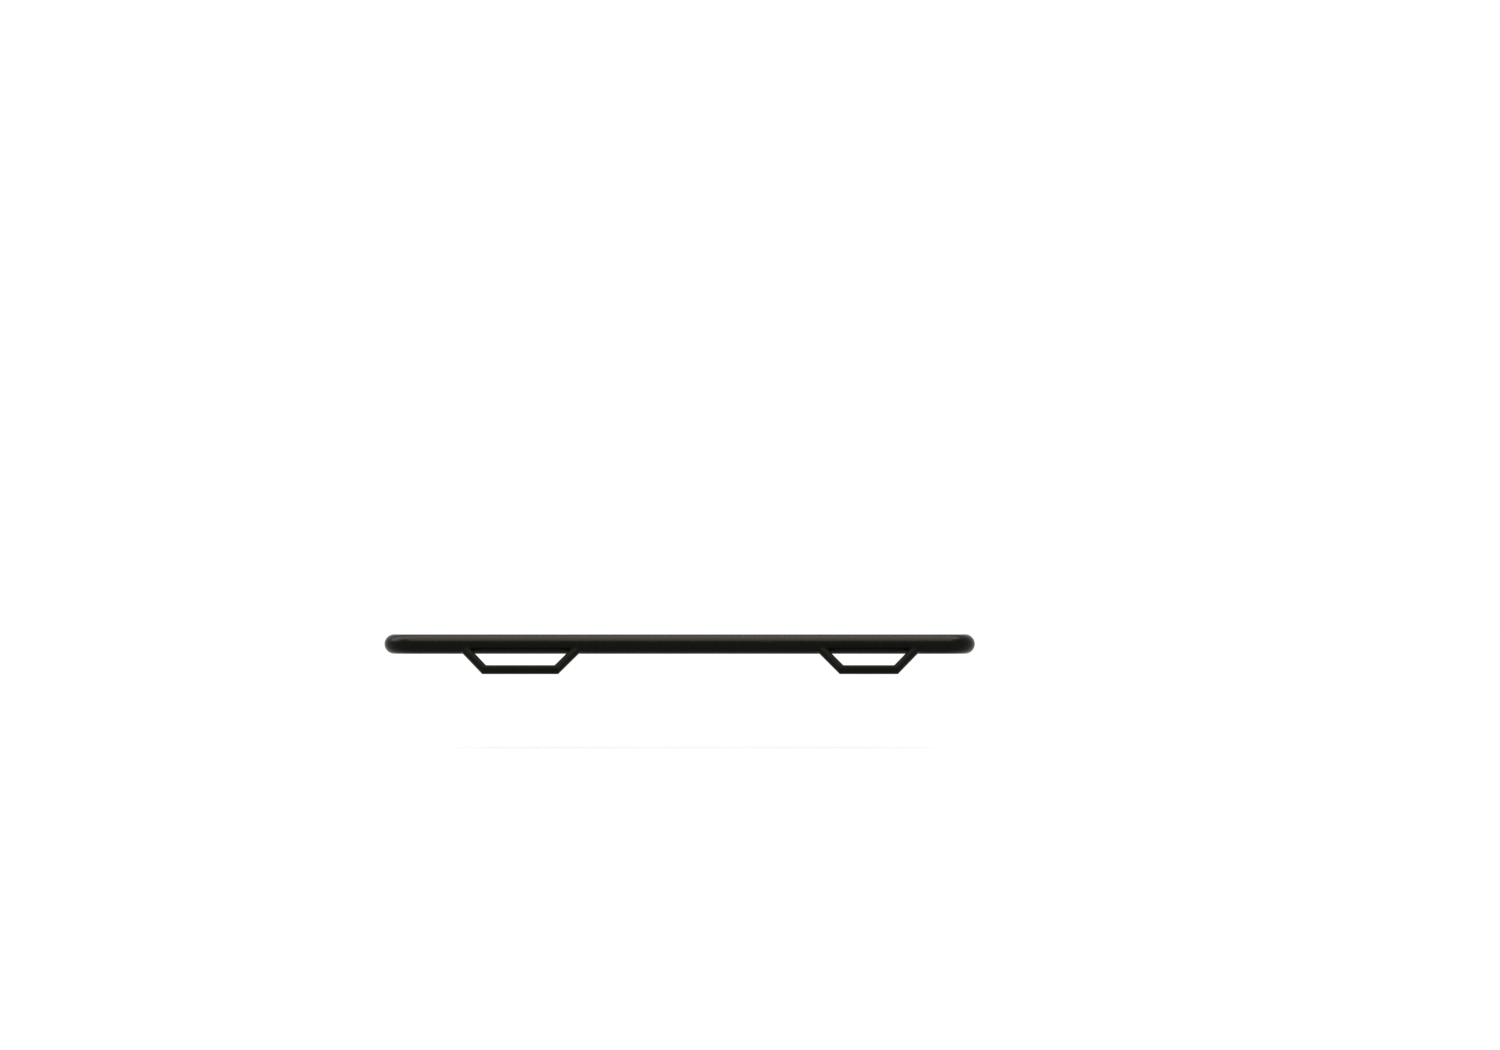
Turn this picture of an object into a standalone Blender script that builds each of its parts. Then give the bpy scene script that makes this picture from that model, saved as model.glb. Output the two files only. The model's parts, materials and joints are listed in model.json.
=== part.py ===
"""Side step bar for the left side of a long pickup, with a door step and a bed step.

Metres. X runs to the vehicle's rear, Y to its inboard side and Z up. The origin is the middle
of the front bracket's pad, on the face that bolts to the vehicle's frame.
"""
import math

import bmesh
import bpy
from mathutils import Vector

# Main tube
BAR_LENGTH = 2.310
TUBE_DIAMETER = 0.0762
TUBE_WALL = 0.0025
BEND_RADIUS = 0.100
STUB_LENGTH = 0.030
PAD_TO_TUBE = 0.190
DRAIN_DIAMETER = 0.008
DRAIN_FROM_END = 0.160

# End caps
CAP_LIP = 0.002
CAP_CROWN = 0.008
CAP_SPIGOT = 0.010
CAP_WALL = 0.002

# Steps
STEP_TUBE_DIAMETER = 0.035
STEP_TUBE_WALL = 0.0024
STEP_DROP = 0.0985
STEP_LEAN = math.radians(45.0)
LEG_SPLAY = math.radians(45.0)
DOOR_STEP_FROM_FRONT = 0.537
DOOR_TREAD_LENGTH = 0.281
BED_STEP_FROM_REAR = 0.418
BED_TREAD_LENGTH = 0.212

# Mounting stations
STATION_NAMES = ("front", "front_middle", "rear_middle", "rear")
PAD_FROM_END = 0.225
PLATE = 0.005
TAB_HEIGHT = 0.044
TAB_LENGTH = 0.062
TAB_CORNER = 0.010
BRACKET_HEIGHT = 0.050
BRACKET_BEND = 0.006
BRACKET_CORNER = 0.010
PAD_LENGTH = 0.100
PAD_SLOT_FROM_MIDDLE = 0.027
PAD_SLOT_LENGTH = 0.024
ARM_TO_TUBE = 0.006
ARM_SLOT_LENGTH = 0.016

# Fasteners
BOLT_NAMES = ("outboard", "inboard")
BOLT_DIAMETER = 0.010
BOLT_FROM_TUBE = 0.020
BOLT_SPACING = 0.028
BOLT_POINT = 0.001
HOLE_CLEARANCE = 0.0005
HEX_ACROSS_FLATS = 0.016
HEX_CHAMFER = 0.0008
HEAD_HEIGHT = 0.0064
NUT_HEIGHT = 0.0084
THREAD_SHOWING = 0.004
WASHER_DIAMETER = 0.020
WASHER_THICKNESS = 0.002
SPRING_WASHER_DIAMETER = 0.0181
SPRING_WASHER_THICKNESS = 0.0022
SPRING_WASHER_SPLIT = 0.0015

# Space left between two pieces that touch or are welded
GAP = 0.0003

# Facets
HEX_SIDES = 6
TUBE_SIDES = 40
BEND_STEPS = 10
STEP_TUBE_SIDES = 24
DOME_STEPS = 4
COPE_STEPS = 8
CORNER_STEPS = 4
HOLE_SIDES = 12
WASHER_SIDES = 16
MERGE_DISTANCE = 0.00001
SMOOTH_ANGLE = math.radians(35.0)

# How far a cutter runs on, in widths of what it cuts
CUTTER_REACH = 4

# Derived places
TUBE_RADIUS = TUBE_DIAMETER / 2
STEP_TUBE_RADIUS = STEP_TUBE_DIAMETER / 2
BOLT_RADIUS = BOLT_DIAMETER / 2
HEX_RADIUS = HEX_ACROSS_FLATS / 2 / math.cos(math.pi / HEX_SIDES)
HOLE_RADIUS = BOLT_RADIUS + HOLE_CLEARANCE
STATION_SPACING = (BAR_LENGTH - 2 * PAD_FROM_END) / (len(STATION_NAMES) - 1)
BAR_MIDDLE_X = BAR_LENGTH / 2 - PAD_FROM_END
TUBE_Y = -PAD_TO_TUBE
BAR_MIDDLE = Vector((BAR_MIDDLE_X, TUBE_Y, 0.0))
STUB_X = BAR_LENGTH / 2 - TUBE_RADIUS
STUB_END_Y = BEND_RADIUS + STUB_LENGTH
ARM_FACE_X = -PAD_LENGTH / 2
TAB_FACE_X = ARM_FACE_X - GAP - PLATE
BOLT_YS = [TUBE_RADIUS + BOLT_FROM_TUBE + index * BOLT_SPACING for index in range(len(BOLT_NAMES))]

# Turns that lay a shape drawn around local Z along another axis
ALONG_X = (0.0, math.pi / 2, 0.0)
ALONG_Y = (-math.pi / 2, 0.0, 0.0)
FACING_OUTBOARD = (math.pi / 2, 0.0, 0.0)

# The turn that stands a plate across the bar, with its drawn X running inboard and its drawn Y up
ACROSS_BAR = (math.pi / 2, 0.0, math.pi / 2)


def new_collection(name):
    """A collection in the scene, which the objects go into."""
    made = bpy.data.collections.new(name)
    bpy.context.scene.collection.children.link(made)
    return made


def place(obj, collection, location=(0.0, 0.0, 0.0), rotation=(0.0, 0.0, 0.0)):
    """Puts an object in its collection, at its place."""
    for old in list(obj.users_collection):
        old.objects.unlink(obj)
    collection.objects.link(obj)
    obj.location = location
    obj.rotation_euler = rotation
    return obj


def as_cutter(obj):
    """Marks an object that only shapes others."""
    obj.hide_render = True
    obj.display_type = "WIRE"
    return obj


def arc(centre, radius, start, end, steps):
    """Points on an arc in the plane, both ends included. Angles in radians."""
    points = []
    for index in range(steps + 1):
        angle = start + (end - start) * index / steps
        points.append((centre[0] + radius * math.cos(angle), centre[1] + radius * math.sin(angle)))
    return points


def ring(radius, sides, turn=0.0):
    """The corners of a regular polygon, at that radius."""
    return arc((0.0, 0.0), radius, turn, turn + math.tau, sides)[:-1]


def moved(points, x, y):
    """The same outline in another place."""
    return [(point[0] + x, point[1] + y) for point in points]


def slot(length, width):
    """A slot's outline, long in X, with round ends."""
    reach = (length - width) / 2
    half_turn = math.pi / 2
    right = arc((reach, 0.0), width / 2, -half_turn, half_turn, HOLE_SIDES // 2)
    left = arc((-reach, 0.0), width / 2, half_turn, 3 * half_turn, HOLE_SIDES // 2)
    return right + left


def flat_curve(name, outlines, thickness, chamfer=0.0):
    """A plate drawn in XY, centred on its thickness. Outlines inside the first are its holes."""
    curve = bpy.data.curves.new(name, "CURVE")
    curve.dimensions = "2D"
    curve.fill_mode = "BOTH"
    curve.extrude = thickness / 2 - chamfer
    curve.bevel_depth = chamfer
    curve.bevel_resolution = 0
    curve.offset = -chamfer
    for outline in outlines:
        spline = curve.splines.new("POLY")
        spline.points.add(len(outline) - 1)
        for point, place_xy in zip(spline.points, outline):
            point.co = (*place_xy, 0.0, 1.0)
        spline.use_cyclic_u = True
    return bpy.data.objects.new(name, curve)


def baked(obj, name):
    """The mesh that an object and its modifiers make, welded, in its own space. The object goes."""
    if not obj.users_collection:
        bpy.context.scene.collection.objects.link(obj)
    graph = bpy.context.evaluated_depsgraph_get()
    mesh = bpy.data.meshes.new_from_object(obj.evaluated_get(graph), depsgraph=graph)
    mesh.name = name
    bpy.data.objects.remove(obj, do_unlink=True)
    shape = bmesh.new()
    shape.from_mesh(mesh)
    bmesh.ops.remove_doubles(shape, verts=shape.verts, dist=MERGE_DISTANCE)
    shape.to_mesh(mesh)
    shape.free()
    return mesh


def smooth(mesh):
    """Shades round faces smooth and keeps the corners crisp."""
    mesh.shade_smooth()
    mesh.set_sharp_from_angle(angle=SMOOTH_ANGLE)
    return mesh


def settle(obj):
    """Applies an object's modifiers in place and shades it."""
    graph = bpy.context.evaluated_depsgraph_get()
    mesh = bpy.data.meshes.new_from_object(obj.evaluated_get(graph), depsgraph=graph)
    obj.modifiers.clear()
    obj.data = mesh
    mesh.name = obj.name
    smooth(mesh)


def turned(name, profile, steps):
    """A profile of radius and height, from top to bottom, turned around Z."""
    mesh = bpy.data.meshes.new(name)
    shape = bmesh.new()
    corners = [shape.verts.new((radius, 0.0, height)) for radius, height in profile]
    for first, second in zip(corners, corners[1:]):
        shape.edges.new((first, second))
    shape.to_mesh(mesh)
    shape.free()
    obj = bpy.data.objects.new(name, mesh)
    turn = obj.modifiers.new("turn", "SCREW")
    turn.steps = steps
    turn.render_steps = steps
    turn.use_merge_vertices = True
    turn.merge_threshold = MERGE_DISTANCE
    return obj


def boolean(obj, operation, other):
    """Adds or removes another object's shape."""
    modifier = obj.modifiers.new(other.name, "BOOLEAN")
    modifier.operation = operation
    modifier.object = other
    modifier.solver = "EXACT"


def principled(name, colour, metallic, roughness):
    """One finish. Colour is linear red, green and blue."""
    made = bpy.data.materials.new(name)
    made.use_nodes = True
    shader = made.node_tree.nodes["Principled BSDF"]
    shader.inputs["Base Color"].default_value = (*colour, 1.0)
    shader.inputs["Metallic"].default_value = metallic
    shader.inputs["Roughness"].default_value = roughness
    return made


def main_tube_finish():
    return principled("main_tube_gloss_black", (0.012, 0.011, 0.009), 0.0, 0.22)


def end_cap_finish():
    return principled("end_cap_gloss_black", (0.012, 0.011, 0.009), 0.0, 0.26)


def step_tube_finish():
    return principled("step_tube_gloss_black", (0.011, 0.010, 0.008), 0.0, 0.24)


def bracket_finish():
    return principled("bracket_satin_black", (0.014, 0.013, 0.012), 0.0, 0.38)


def fastener_finish():
    return principled("zinc_plated_steel", (0.52, 0.53, 0.54), 1.0, 0.34)


def add_wall(obj, thickness, side):
    """Thickens an open surface, inward where side is -1 and outward where it is 1."""
    wall = obj.modifiers.new("wall", "SOLIDIFY")
    wall.thickness = thickness
    wall.offset = side
    wall.use_even_offset = True


def drain_cutter(middle, collection):
    """An upright pin that cuts one drain hole through the tube's underside."""
    bpy.ops.mesh.primitive_cylinder_add(
        vertices=HOLE_SIDES,
        radius=DRAIN_DIAMETER / 2,
        depth=CUTTER_REACH * TUBE_WALL,
        location=middle,
    )
    pin = as_cutter(bpy.context.object)
    pin.name = "drain_hole"
    return place(pin, collection, middle)


def build_main_tube(collection, cutters, finish):
    """The hollow tube, bent a quarter turn inboard at both ends, with a drain hole by each bend."""
    bend_centre = (STUB_X - BEND_RADIUS, BEND_RADIUS)
    rear = arc(bend_centre, BEND_RADIUS, -math.pi / 2, 0.0, BEND_STEPS)
    rear.append((STUB_X, STUB_END_Y))
    front = [(-x, y) for x, y in reversed(rear)]
    path = front + rear
    curve = bpy.data.curves.new("main_tube", "CURVE")
    curve.dimensions = "3D"
    curve.twist_mode = "Z_UP"
    curve.bevel_depth = TUBE_RADIUS
    curve.bevel_resolution = TUBE_SIDES // 2 - 2
    curve.use_fill_caps = False
    spline = curve.splines.new("POLY")
    spline.points.add(len(path) - 1)
    for point, (x, y) in zip(spline.points, path):
        point.co = (x, y, 0.0, 1.0)
    bent = bpy.data.objects.new("main_tube", curve)
    add_wall(bent, TUBE_WALL, -1.0)
    mesh = baked(bent, "main_tube")
    mesh.materials.append(finish)
    tube = place(bpy.data.objects.new("main_tube", mesh), collection, BAR_MIDDLE)
    for side in (-1, 1):
        drain_x = side * (BAR_LENGTH / 2 - DRAIN_FROM_END)
        boolean(tube, "DIFFERENCE", drain_cutter(BAR_MIDDLE + Vector((drain_x, 0.0, -TUBE_RADIUS)), cutters))
    settle(tube)


def cap_profile():
    """Half the section of a pressed cap, from the middle of its dome round to the middle inside."""
    spigot_radius = TUBE_RADIUS - TUBE_WALL - 2 * GAP
    dome = []
    for index in range(DOME_STEPS + 1):
        angle = index * math.pi / 2 / DOME_STEPS
        dome.append((TUBE_RADIUS * math.sin(angle), CAP_LIP + CAP_CROWN * math.cos(angle)))
    skirt = [
        (TUBE_RADIUS, 0.0),
        (spigot_radius, 0.0),
        (spigot_radius, -CAP_SPIGOT),
        (spigot_radius - CAP_WALL, -CAP_SPIGOT),
        (spigot_radius - CAP_WALL, 0.0),
        (0.0, CAP_LIP),
    ]
    return dome + skirt


def build_end_caps(collection, finish):
    """The two caps, seated in the open ends of the main tube."""
    mesh = smooth(baked(turned("end_cap", cap_profile(), TUBE_SIDES), "end_cap"))
    mesh.materials.append(finish)
    for name, side in (("front_end_cap", -1), ("rear_end_cap", 1)):
        seat = BAR_MIDDLE + Vector((side * STUB_X, STUB_END_Y + GAP, 0.0))
        place(bpy.data.objects.new(name, mesh), collection, seat, ALONG_Y)


def hollow_tube(name, start, end, collection, finish):
    """A straight piece of step tube between two points, open at both ends."""
    run = end - start
    bpy.ops.mesh.primitive_cylinder_add(
        vertices=STEP_TUBE_SIDES,
        radius=STEP_TUBE_RADIUS,
        depth=run.length,
        end_fill_type="NOTHING",
        location=(start + end) / 2,
        rotation=run.to_track_quat("Z", "Y").to_euler(),
    )
    tube = bpy.context.object
    tube.name = name
    tube.data.name = name
    tube.data.materials.append(finish)
    place(tube, collection, tube.location.copy(), tube.rotation_euler.copy())
    add_wall(tube, STEP_TUBE_WALL, -1.0)
    return tube


def mitre_block(name, corner, away, collection):
    """A block with one face on the mitre plane, half a gap past it, that lies on its away side."""
    size = CUTTER_REACH * STEP_TUBE_DIAMETER
    bpy.ops.mesh.primitive_cube_add(
        size=size,
        location=corner + away * (size / 2 - GAP / 2),
        rotation=away.to_track_quat("Z", "Y").to_euler(),
    )
    block = as_cutter(bpy.context.object)
    block.name = name
    return place(block, collection, block.location.copy(), block.rotation_euler.copy())


def main_tube_clearance(collection):
    """The main tube's outside with the weld gap, which copes the legs."""
    bpy.ops.mesh.primitive_cylinder_add(
        vertices=TUBE_SIDES,
        radius=TUBE_RADIUS + GAP,
        depth=BAR_LENGTH,
        location=BAR_MIDDLE,
        rotation=ALONG_X,
    )
    cutter = as_cutter(bpy.context.object)
    cutter.name = "main_tube_clearance"
    return place(cutter, collection, cutter.location.copy(), cutter.rotation_euler.copy())


def build_step(prefix, middle_x, tread_length, parts, cutters, clearance, finish):
    """One hoop: a tread below and outboard of the main tube, on two legs coped to it."""
    reach = STEP_DROP * math.tan(STEP_LEAN)
    spread = STEP_DROP * math.tan(LEG_SPLAY)
    overrun = Vector((STEP_TUBE_DIAMETER, 0.0, 0.0))
    corners = []
    for side in (-1, 1):
        corners.append(BAR_MIDDLE + Vector((middle_x + side * tread_length / 2, -reach, -STEP_DROP)))
    tread = hollow_tube(
        f"{prefix}_tread_tube", corners[0] - overrun, corners[1] + overrun, parts, finish
    )
    for label, corner, side in (("front", corners[0], -1), ("rear", corners[1], 1)):
        climb = Vector((side * spread, reach, STEP_DROP))
        along_leg = climb.normalized()
        along_tread = Vector((-side, 0.0, 0.0))
        across = (along_leg - along_tread).normalized()
        leg = hollow_tube(
            f"{prefix}_{label}_leg",
            corner - along_leg * STEP_TUBE_DIAMETER,
            corner + climb,
            parts,
            finish,
        )
        below = mitre_block(f"{prefix}_{label}_leg_mitre", corner, -across, cutters)
        beyond = mitre_block(f"{prefix}_{label}_tread_mitre", corner, across, cutters)
        boolean(leg, "DIFFERENCE", below)
        boolean(leg, "DIFFERENCE", clearance)
        boolean(tread, "DIFFERENCE", beyond)
        settle(leg)
    settle(tread)


def weld_tab_mesh():
    """The plate welded to the back of the main tube, drawn with X inboard from the tube's axis."""
    cope_radius = TUBE_RADIUS + GAP
    half_height = TAB_HEIGHT / 2
    cope_turn = math.asin(half_height / cope_radius)
    corner_x = TUBE_RADIUS + TAB_LENGTH - TAB_CORNER
    corner_y = half_height - TAB_CORNER
    quarter = math.pi / 2
    outline = arc((0.0, 0.0), cope_radius, cope_turn, -cope_turn, COPE_STEPS)
    outline += arc((corner_x, -corner_y), TAB_CORNER, -quarter, 0.0, CORNER_STEPS)
    outline += arc((corner_x, corner_y), TAB_CORNER, 0.0, quarter, CORNER_STEPS)
    holes = [moved(ring(HOLE_RADIUS, HOLE_SIDES), bolt_y, 0.0) for bolt_y in BOLT_YS]
    return smooth(baked(flat_curve("weld_tab", [outline, *holes], PLATE), "weld_tab"))


def bracket_sheet():
    """The bracket's outer surface, bent to an L, from the arm's tip to the far end of the pad."""
    outer_bend = BRACKET_BEND + PLATE
    tip_y = TUBE_Y + TUBE_RADIUS + ARM_TO_TUBE
    bend_centre = (ARM_FACE_X + outer_bend, -outer_bend)
    path = [(ARM_FACE_X, tip_y)]
    path += arc(bend_centre, outer_bend, math.pi, math.pi / 2, 2 * CORNER_STEPS)
    path.append((PAD_LENGTH / 2, 0.0))
    half_height = BRACKET_HEIGHT / 2
    shape = bmesh.new()
    low = [shape.verts.new((x, y, -half_height)) for x, y in path]
    high = [shape.verts.new((x, y, half_height)) for x, y in path]
    for index in range(len(path) - 1):
        shape.faces.new((low[index], low[index + 1], high[index + 1], high[index]))
    mesh = bpy.data.meshes.new("bracket_sheet")
    shape.to_mesh(mesh)
    shape.free()
    return mesh, (0, len(path) - 1, len(path), 2 * len(path) - 1)


def bracket_mesh(cutters):
    """The L bracket with round corners, two slots in its arm and two in its pad."""
    sheet, corner_indices = bracket_sheet()
    bracket = place(bpy.data.objects.new("bracket_sheet", sheet), cutters)
    corner_group = bracket.vertex_groups.new(name="corners")
    corner_group.add(corner_indices, 1.0, "REPLACE")
    corners = bracket.modifiers.new("corners", "BEVEL")
    corners.affect = "VERTICES"
    corners.limit_method = "VGROUP"
    corners.vertex_group = corner_group.name
    corners.width = BRACKET_CORNER
    corners.segments = CORNER_STEPS
    add_wall(bracket, PLATE, 1.0)
    slot_width = 2 * HOLE_RADIUS
    depth = CUTTER_REACH * PLATE
    arm_slots = [moved(slot(ARM_SLOT_LENGTH, slot_width), TUBE_Y + bolt_y, 0.0) for bolt_y in BOLT_YS]
    upright = [(-y, x) for x, y in slot(PAD_SLOT_LENGTH, slot_width)]
    pad_slots = [moved(upright, side * PAD_SLOT_FROM_MIDDLE, 0.0) for side in (-1, 1)]
    for name, outlines, place_at, turn in (
        ("arm_slots", arm_slots, (ARM_FACE_X, 0.0, 0.0), ACROSS_BAR),
        ("pad_slots", pad_slots, (0.0, 0.0, 0.0), FACING_OUTBOARD),
    ):
        mesh = baked(flat_curve(name, outlines, depth), name)
        cutter = place(bpy.data.objects.new(name, mesh), cutters, place_at, turn)
        boolean(bracket, "DIFFERENCE", as_cutter(cutter))
    return smooth(baked(bracket, "frame_bracket"))


def bolt_mesh(cutters):
    """A hex bolt along Z, with its bearing face at Z 0 and its head below."""
    clamped = (WASHER_THICKNESS, PLATE, PLATE, WASHER_THICKNESS, SPRING_WASHER_THICKNESS)
    grip = sum(clamped) + (len(clamped) + 1) * GAP
    length = grip + NUT_HEIGHT + THREAD_SHOWING
    root = HEAD_HEIGHT / 2
    profile = [
        (0.0, length),
        (BOLT_RADIUS - BOLT_POINT, length),
        (BOLT_RADIUS, length - BOLT_POINT),
        (BOLT_RADIUS, -root),
        (0.0, -root),
    ]
    shank = place(turned("shank", profile, HOLE_SIDES), cutters)
    outline = ring(HEX_RADIUS, HEX_SIDES)
    head_curve = flat_curve("head", [outline], HEAD_HEIGHT, HEX_CHAMFER)
    head_mesh = baked(head_curve, "head")
    head = place(bpy.data.objects.new("head", head_mesh), cutters, (0.0, 0.0, -HEAD_HEIGHT / 2))
    boolean(head, "UNION", as_cutter(shank))
    made = baked(head, "bolt")
    bpy.data.objects.remove(shank, do_unlink=True)
    for vertex in made.vertices:
        vertex.co.z -= HEAD_HEIGHT / 2
    return smooth(made)


def nut_mesh():
    """A hex nut, centred, along Z."""
    outline = ring(HEX_RADIUS, HEX_SIDES)
    bore = ring(BOLT_RADIUS + GAP + HEX_CHAMFER / 2, HOLE_SIDES)
    return smooth(baked(flat_curve("nut", [outline, bore], NUT_HEIGHT, HEX_CHAMFER), "nut"))


def washer_mesh():
    """A flat washer, centred, along Z."""
    outlines = [ring(WASHER_DIAMETER / 2, WASHER_SIDES), ring(HOLE_RADIUS, HOLE_SIDES)]
    return smooth(baked(flat_curve("washer", outlines, WASHER_THICKNESS), "washer"))


def spring_washer_mesh():
    """A split spring washer, pressed flat, centred, along Z."""
    outer = SPRING_WASHER_DIAMETER / 2
    outer_turn = SPRING_WASHER_SPLIT / 2 / outer
    inner_turn = SPRING_WASHER_SPLIT / 2 / HOLE_RADIUS
    outline = arc((0.0, 0.0), outer, outer_turn, math.tau - outer_turn, WASHER_SIDES)
    outline += arc((0.0, 0.0), HOLE_RADIUS, math.tau - inner_turn, inner_turn, HOLE_SIDES)
    return smooth(baked(flat_curve("spring_washer", [outline], SPRING_WASHER_THICKNESS), "spring_washer"))


def build_station(name, station_x, meshes, parts):
    """One tab on the tube, the bracket beside it, and the two bolts through both."""
    tab_x = station_x + TAB_FACE_X + PLATE / 2
    tab = bpy.data.objects.new(f"{name}_weld_tab", meshes["tab"])
    place(tab, parts, (tab_x, TUBE_Y, 0.0), ACROSS_BAR)
    place(bpy.data.objects.new(f"{name}_frame_bracket", meshes["bracket"]), parts, (station_x, 0.0, 0.0))
    head_washer_face = TAB_FACE_X - GAP - WASHER_THICKNESS
    nut_washer_face = ARM_FACE_X + PLATE + GAP
    spring_washer_face = nut_washer_face + WASHER_THICKNESS + GAP
    nut_face = spring_washer_face + SPRING_WASHER_THICKNESS + GAP
    stack = (
        ("bolt", "bolt", head_washer_face - GAP),
        ("head_washer", "washer", head_washer_face + WASHER_THICKNESS / 2),
        ("nut_washer", "washer", nut_washer_face + WASHER_THICKNESS / 2),
        ("spring_washer", "spring_washer", spring_washer_face + SPRING_WASHER_THICKNESS / 2),
        ("nut", "nut", nut_face + NUT_HEIGHT / 2),
    )
    for bolt_name, bolt_y in zip(BOLT_NAMES, BOLT_YS):
        for label, mesh_name, x in stack:
            piece = bpy.data.objects.new(f"{name}_{bolt_name}_{label}", meshes[mesh_name])
            place(piece, parts, (station_x + x, TUBE_Y + bolt_y, 0.0), ALONG_X)


def build():
    """The whole bar."""
    for obj in list(bpy.data.objects):
        bpy.data.objects.remove(obj, do_unlink=True)
    parts = new_collection("side_step_bar")
    cutters = new_collection("side_step_bar_cutters")
    build_main_tube(parts, cutters, main_tube_finish())
    build_end_caps(parts, end_cap_finish())
    clearance = main_tube_clearance(cutters)
    step_finish = step_tube_finish()
    for prefix, middle_x, tread_length in (
        ("door_step", DOOR_STEP_FROM_FRONT - BAR_LENGTH / 2, DOOR_TREAD_LENGTH),
        ("bed_step", BAR_LENGTH / 2 - BED_STEP_FROM_REAR, BED_TREAD_LENGTH),
    ):
        build_step(prefix, middle_x, tread_length, parts, cutters, clearance, step_finish)
    meshes = {
        "tab": weld_tab_mesh(),
        "bracket": bracket_mesh(cutters),
        "bolt": bolt_mesh(cutters),
        "nut": nut_mesh(),
        "washer": washer_mesh(),
        "spring_washer": spring_washer_mesh(),
    }
    plate_finish = bracket_finish()
    zinc = fastener_finish()
    for name, mesh in meshes.items():
        mesh.materials.clear()
        mesh.materials.append(plate_finish if name in ("tab", "bracket") else zinc)
    for index, name in enumerate(STATION_NAMES):
        build_station(name, index * STATION_SPACING, meshes, parts)


build()
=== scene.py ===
"""Looks for the side step bar: fine meshes, weld beads, threads, finishes, stage, light and camera.

Metres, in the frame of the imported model: X to the vehicle's rear, Y inboard, Z up.
Each CAD node is replaced by a finer piece of the same sizes, in the same place.
"""
import json
import math

import bmesh
import bpy
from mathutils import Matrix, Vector

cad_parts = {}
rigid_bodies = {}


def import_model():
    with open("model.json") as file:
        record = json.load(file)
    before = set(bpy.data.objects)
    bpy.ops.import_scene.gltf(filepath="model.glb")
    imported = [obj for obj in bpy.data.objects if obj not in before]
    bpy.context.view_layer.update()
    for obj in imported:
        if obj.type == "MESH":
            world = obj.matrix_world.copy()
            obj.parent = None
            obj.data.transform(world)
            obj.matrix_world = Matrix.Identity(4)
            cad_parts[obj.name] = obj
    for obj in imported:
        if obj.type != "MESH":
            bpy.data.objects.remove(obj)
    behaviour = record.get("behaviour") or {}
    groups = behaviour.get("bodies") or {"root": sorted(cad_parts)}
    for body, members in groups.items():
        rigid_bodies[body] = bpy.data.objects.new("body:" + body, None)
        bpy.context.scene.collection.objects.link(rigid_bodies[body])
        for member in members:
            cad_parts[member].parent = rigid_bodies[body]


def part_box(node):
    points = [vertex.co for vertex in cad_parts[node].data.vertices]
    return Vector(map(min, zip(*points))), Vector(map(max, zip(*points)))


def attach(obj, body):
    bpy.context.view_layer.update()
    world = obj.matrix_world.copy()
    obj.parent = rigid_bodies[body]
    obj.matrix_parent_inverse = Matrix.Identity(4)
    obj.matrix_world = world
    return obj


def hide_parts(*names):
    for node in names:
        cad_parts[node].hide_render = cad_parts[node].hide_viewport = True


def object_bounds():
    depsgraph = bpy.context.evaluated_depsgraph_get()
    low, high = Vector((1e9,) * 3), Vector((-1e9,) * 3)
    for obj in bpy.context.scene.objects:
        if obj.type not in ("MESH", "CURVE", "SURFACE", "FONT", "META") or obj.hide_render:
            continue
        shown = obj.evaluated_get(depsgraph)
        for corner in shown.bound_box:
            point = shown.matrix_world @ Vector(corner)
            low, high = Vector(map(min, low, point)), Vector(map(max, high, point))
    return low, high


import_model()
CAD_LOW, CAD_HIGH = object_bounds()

X_AXIS = Vector((1.0, 0.0, 0.0))
Y_AXIS = Vector((0.0, 1.0, 0.0))
Z_AXIS = Vector((0.0, 0.0, 1.0))
QUARTER = math.pi / 2

# Sizes repeated from the part's source
TUBE_RADIUS = 0.0381
TUBE_WALL = 0.0025
TUBE_Y = -0.190
TUBE_ORIGIN = Vector((0.0, TUBE_Y, 0.0))
BAR_MIDDLE_X = 0.93
BAR_FRONT_X = -0.225
BAR_REAR_X = 2.085
BEND_RADIUS = 0.100
STUB_LENGTH = 0.030
STUB_END_Y = TUBE_Y + (BEND_RADIUS + STUB_LENGTH)
END_X = {"front": BAR_FRONT_X + TUBE_RADIUS, "rear": BAR_REAR_X - TUBE_RADIUS}
DRAIN_X = (-0.065, 1.925)
DRAIN_RADIUS = 0.004
CAP_LIP = 0.002
CAP_CROWN = 0.008
CAP_SPIGOT = 0.010
CAP_WALL = 0.002
CAP_SLIP = 0.0006
STEP_RADIUS = 0.0175
STEP_WALL = 0.0024
STEP_DROP = 0.0985
STEPS = {"door_step": (0.312, 0.281), "bed_step": (1.667, 0.212)}
STATIONS = ("front", "front_middle", "rear_middle", "rear")
BOLTS = ("outboard", "inboard")
PLATE = 0.005
TAB_HALF_HEIGHT = 0.022
TAB_LENGTH = 0.062
TAB_CORNER = 0.010
BRACKET_HALF_HEIGHT = 0.025
BRACKET_CORNER = 0.010
BRACKET_BEND = 0.006
PAD_LENGTH = 0.100
ARM_FROM_TUBE = 0.006
BOLT_FROM_TUBE = (0.020, 0.048)
SLOT_WIDTH = 0.011
ARM_SLOT = 0.016
PAD_SLOT = 0.024
PAD_SLOT_FROM_MIDDLE = 0.027
HEAD_HEIGHT = 0.0064
WASHER_BORE = 0.00555
WASHER_RADIUS = 0.010
WASHER_THICKNESS = 0.002
SPRING_WASHER_RADIUS = 0.00905
SPRING_WASHER_THICKNESS = 0.0022

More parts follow.
